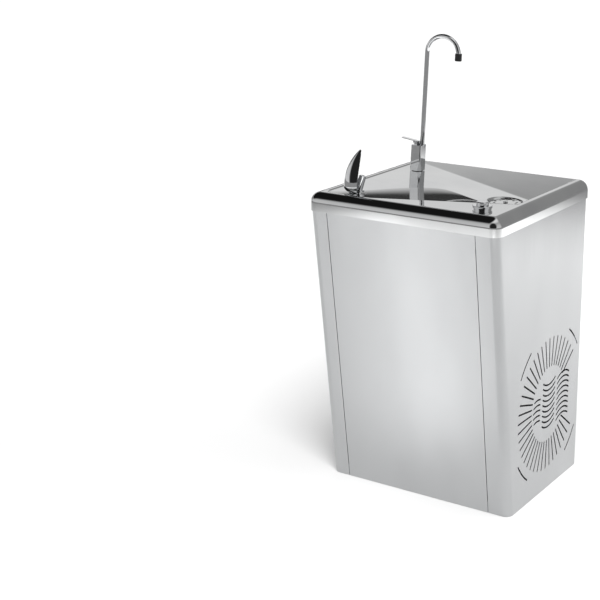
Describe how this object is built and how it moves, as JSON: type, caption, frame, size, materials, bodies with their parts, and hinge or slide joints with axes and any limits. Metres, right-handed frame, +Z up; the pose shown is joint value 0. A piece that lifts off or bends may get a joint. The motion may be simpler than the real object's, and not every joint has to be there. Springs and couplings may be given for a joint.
{
  "type": "drinking fountain",
  "caption": "Wall-hung chilled drinking fountain: tapered steel cabinet with round louvre vents, faceted basin, hooded bubbler, push button and swan-neck bottle filler.",
  "frame": {"origin": "centre of the bounding box at the height of the base, under the cabinet", "axes": "+X to the right seen from the front, +Y towards the wall (the front faces -Y), +Z up"},
  "size_m": [0.406, 0.389, 0.88],
  "materials": {
    "cabinet_steel": "brushed, satin, upright grain",
    "basin_steel": "polished, near mirror",
    "galvanised": "galvanised, dull spangle",
    "zinc_screws": "zinc plated",
    "chrome": "polished chrome plate",
    "brass": "turned brass",
    "spring_steel": "drawn wire",
    "black_paint": "baked black paint",
    "copper": "drawn copper tube",
    "aluminium_fins": "mill finish",
    "foam": "closed-cell foam",
    "rubber": "moulded rubber",
    "black_plastic": "moulded, fine texture",
    "white_plastic": "moulded, satin"
  },
  "bodies": {
    "cabinet": {"back_panel": "galvanised", "back_panel_screws": "zinc_screws", "base_pan": "galvanised", "basin_brackets": "galvanised", "basin_seal": "foam", "basin_top": "basin_steel", "bubbler_guard": "chrome", "bubbler_nozzle": "chrome", "button_bezel": "chrome", "button_locknut": "brass", "cable_gland": "black_plastic", "chassis_frame": "galvanised", "cold_tank": "basin_steel", "compressor": "black_paint", "compressor_grommets": "rubber", "compressor_studs": "zinc_screws", "condenser_coil": "copper", "condenser_end_plates": "galvanised", "condenser_fins": "aluminium_fins", "drain_body": "basin_steel", "drain_gasket": "rubber", "drain_locknut": "black_plastic", "drain_strainer": "basin_steel", "evaporator_coil": "copper", "fan_motor": "black_paint", "fan_motor_bracket": "galvanised", "fan_shroud": "galvanised", "filter_drier": "copper", "front_panel": "cabinet_steel", "guard_screw": "chrome", "hook_bar": "galvanised", "inlet_valve": "brass", "lever_pin": "chrome", "refrigerant_tubes": "copper", "shank_gaskets": "rubber", "shank_locknuts": "brass", "side_panel_left": "cabinet_steel", "side_panel_right": "cabinet_steel", "strainer_screw": "basin_steel", "tank_insulation": "foam", "tank_shelf": "galvanised", "tap_body": "chrome", "terminal_cover": "black_plastic", "thermostat": "white_plastic", "trap_coupling": "black_plastic", "valve_body": "brass", "valve_spring": "spring_steel", "wall_bracket": "galvanised", "waste_trap": "white_plastic", "water_tubes": "white_plastic"},
    "button": {"push_button": "chrome", "valve_plunger": "brass"},
    "lever": {"tap_lever": "chrome"},
    "stem": {"tap_stem": "chrome"},
    "spout": {"tap_spout": "chrome", "spout_collar": "chrome", "outlet_cap": "rubber"},
    "fan": {"fan_blade": "black_plastic", "fan_shaft": "spring_steel"},
    "knob": {"thermostat_knob": "black_plastic"}
  },
  "joints": [
    {"name": "button_press", "type": "slide", "parent": "cabinet", "child": "button", "axis": [0, 0, -1], "range_m": [0, 0.004], "stiffness_N_per_m": 1000, "springref_m": -0.004, "deforming": ["valve_spring"]},
    {"name": "lever_tilt", "type": "hinge", "parent": "cabinet", "child": "lever", "pos_m": [-0.13783, 0.111, 0.65612], "axis": [0, -1, 0], "range_deg": [0, 14], "stiffness_Nm_per_rad": 0.6, "springref_deg": -11.46},
    {"name": "stem_press", "type": "slide", "parent": "cabinet", "child": "stem", "axis": [-0.045, 0, -0.999], "range_m": [0, 0.0016]},
    {"name": "spout_swivel", "type": "hinge", "parent": "cabinet", "child": "spout", "pos_m": [-0.12908, 0.1155, 0.65253], "axis": [0.045, 0, 0.999], "continuous": true},
    {"name": "fan_spin", "type": "hinge", "parent": "cabinet", "child": "fan", "pos_m": [0.1, 0.0525, 0.18], "axis": [1, 0, 0], "continuous": true},
    {"name": "knob_turn", "type": "hinge", "parent": "cabinet", "child": "knob", "pos_m": [0.11, 0.14, 0.36], "axis": [0, -1, 0], "range_deg": [0, 300]}
  ],
  "couplings": [
    {"joint": "stem_press", "follows": "lever_tilt", "m_per_rad": 0.0065}
  ]
}
